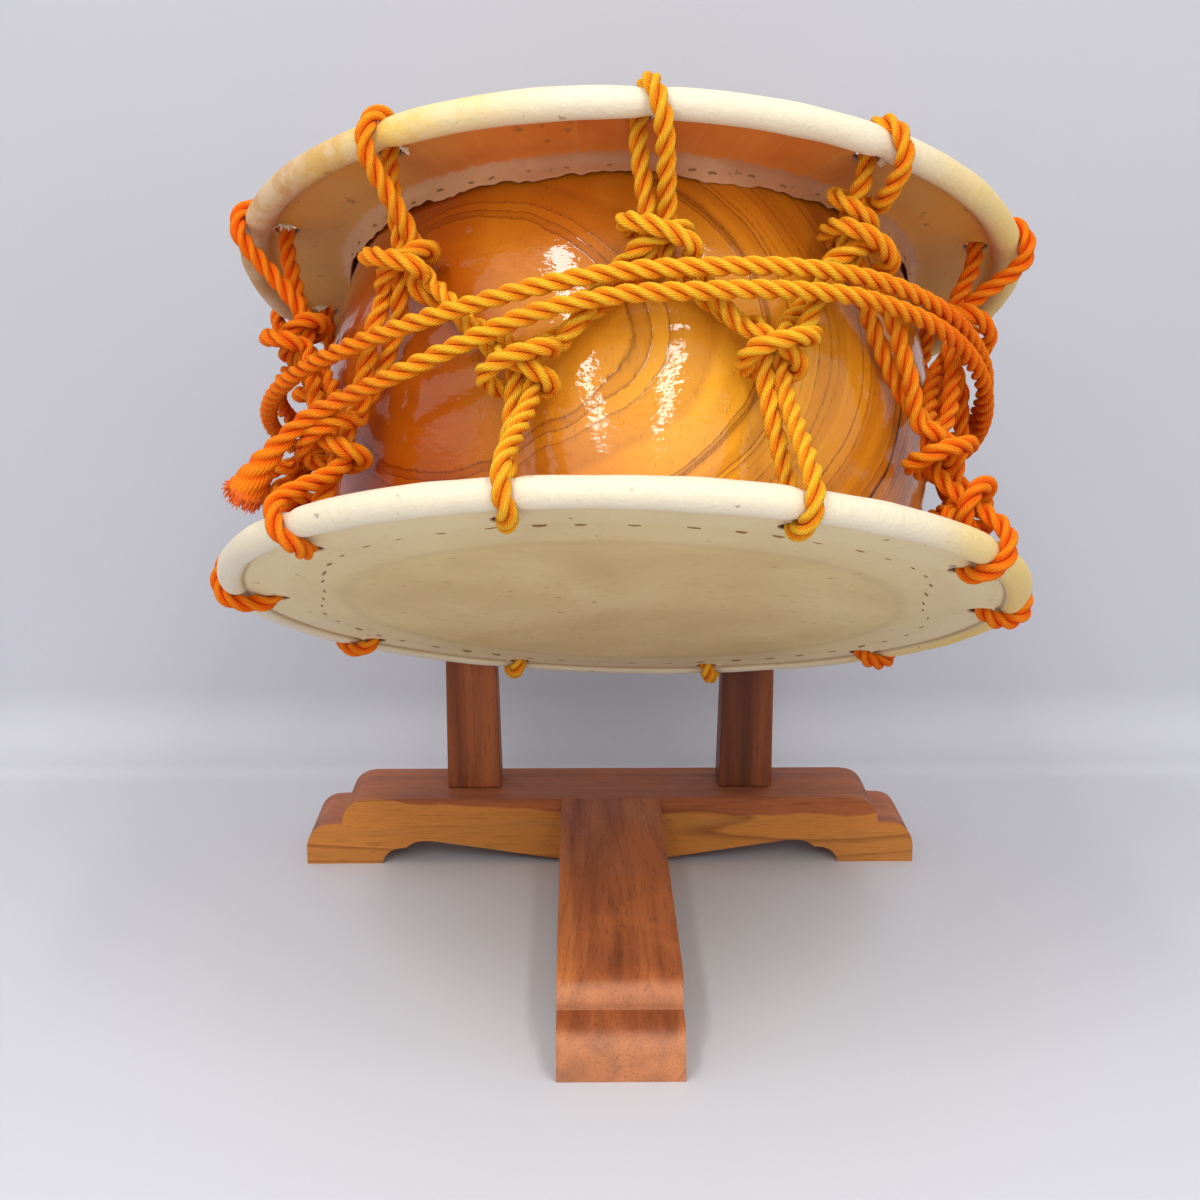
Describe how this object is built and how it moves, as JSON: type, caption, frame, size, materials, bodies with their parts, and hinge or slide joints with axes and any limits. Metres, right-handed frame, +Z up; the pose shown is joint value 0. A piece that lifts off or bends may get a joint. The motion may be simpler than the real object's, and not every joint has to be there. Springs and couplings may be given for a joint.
{
  "type": "shime daiko drum on stand",
  "caption": "Rope-laced drum with two skin heads sewn over iron rings, leaning on a low T-shaped wooden stand with two posts.",
  "frame": {"origin": "on the floor below the middle of the whole object's box", "axes": "+Z up, +X to the viewer's right, -Y towards the viewer and along the stand's leg; the lower head faces forwards and down"},
  "size_m": [0.367, 0.3902, 0.3926],
  "materials": {
    "body_wood": "clear-coated golden brown, dark grain",
    "hide": "matte cream hide, amber where it is thick",
    "iron": "dull dark forged iron",
    "lacing_rope": "three-strand laid rope, orange",
    "tuning_rope": "three-strand laid rope, orange",
    "bar_wood": "planed, reddish brown on top, ochre below",
    "leg_wood": "planed, reddish brown",
    "post_wood": "planed, reddish brown"
  },
  "bodies": {
    "stand": {"crossbar": "bar_wood", "leg": "leg_wood", "post_left": "post_wood", "post_right": "post_wood", "hook_left": "iron", "hook_right": "iron"},
    "drum": {"drum_body": "body_wood", "head_upper": "hide", "head_lower": "hide", "ring_upper": "iron", "ring_lower": "iron", "lacing_rope": "lacing_rope", "tuning_rope": "tuning_rope"}
  },
  "joints": [
    {"name": "drum_lift", "type": "slide", "parent": "stand", "child": "drum", "axis": [0, 0, 1], "range_m": [0, 0.025]}
  ]
}
